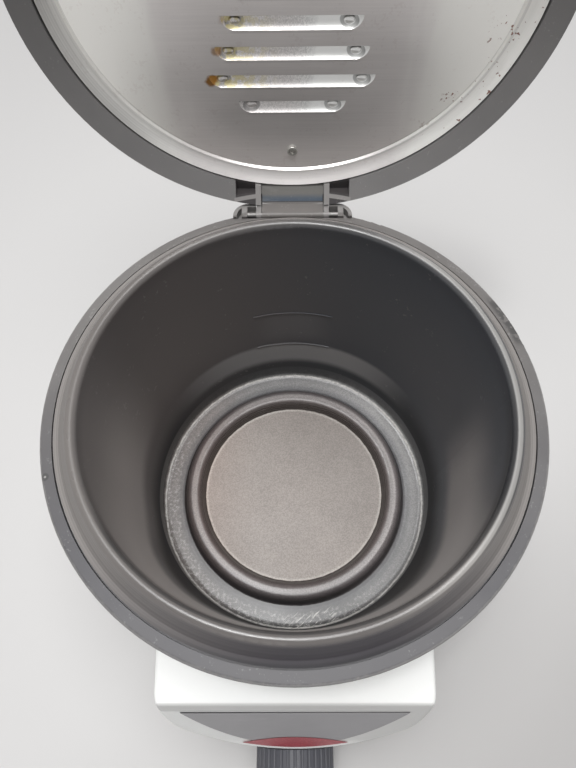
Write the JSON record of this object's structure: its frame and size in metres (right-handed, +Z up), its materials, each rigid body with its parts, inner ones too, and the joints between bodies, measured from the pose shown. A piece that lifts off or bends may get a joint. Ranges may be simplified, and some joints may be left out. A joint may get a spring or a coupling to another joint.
{
  "type": "deep fryer",
  "caption": "Household electric deep fryer: white drum housing with a fixed coated bowl, a hinged lid with a louvred steel plate and filters, and a temperature knob.",
  "frame": {"origin": "on the table plane under the bowl's vertical axis, which is the middle of the whole part's bounding box in plan", "axes": "+Z up along the bowl's axis, -Y towards the user and the knob, +X to the user's right"},
  "size_m": [0.24, 0.3406, 0.4289],
  "materials": {
    "shell_white": "gloss",
    "frame_grey": "fine matte grain",
    "bowl_coating": "satin non-stick coating",
    "plate_steel": "brushed",
    "panel_grey": "satin",
    "lens_red": "clear red gloss",
    "knob_grey": "satin",
    "pointer_white": "satin",
    "base_black": "fine grain",
    "soft_rubber": "matte",
    "zinc_steel": "zinc plated",
    "element_steel": "dull",
    "plain_aluminium": "satin",
    "copper_brass": "satin",
    "lamp_glass": "clear",
    "filter_felt": "felt"
  },
  "bodies": {
    "housing": {"outer_shell": "shell_white", "collar": "frame_grey", "front_panel": "panel_grey", "pilot_window": "lens_red", "pilot_lamp": "lamp_glass", "bowl": "bowl_coating", "bowl_seal": "soft_rubber", "base_plate": "base_black", "feet": "soft_rubber", "base_screws": "zinc_steel", "tie_nuts": "zinc_steel", "tie_rod": "zinc_steel", "spreader_plate": "plain_aluminium", "heating_element": "element_steel", "element_terminals": "copper_brass", "heat_shield": "zinc_steel", "thermal_cutout": "zinc_steel", "thermostat": "base_black", "thermostat_nut": "zinc_steel", "sensor_bulb": "copper_brass", "capillary": "copper_brass", "terminal_block": "base_black", "cord_inlet": "soft_rubber"},
    "lid": {"lid_frame": "frame_grey", "hinge_pins": "zinc_steel", "lid_cover": "shell_white", "vent_cover": "shell_white", "grease_filter": "filter_felt", "carbon_filter": "filter_felt", "lid_plate": "plate_steel", "plate_screws": "zinc_steel"},
    "knob": {"knob": "knob_grey", "knob_pointer": "pointer_white", "thermostat_spindle": "zinc_steel"}
  },
  "joints": [
    {"name": "lid_hinge", "type": "hinge", "parent": "housing", "child": "lid", "pos_m": [0, 0.1163, 0.19], "axis": [1, 0, 0], "range_deg": [0, 92.89]},
    {"name": "knob_turn", "type": "hinge", "parent": "housing", "child": "knob", "pos_m": [0, -0.154, 0.042], "axis": [0, 1, 0], "range_deg": [0, 270]}
  ]
}
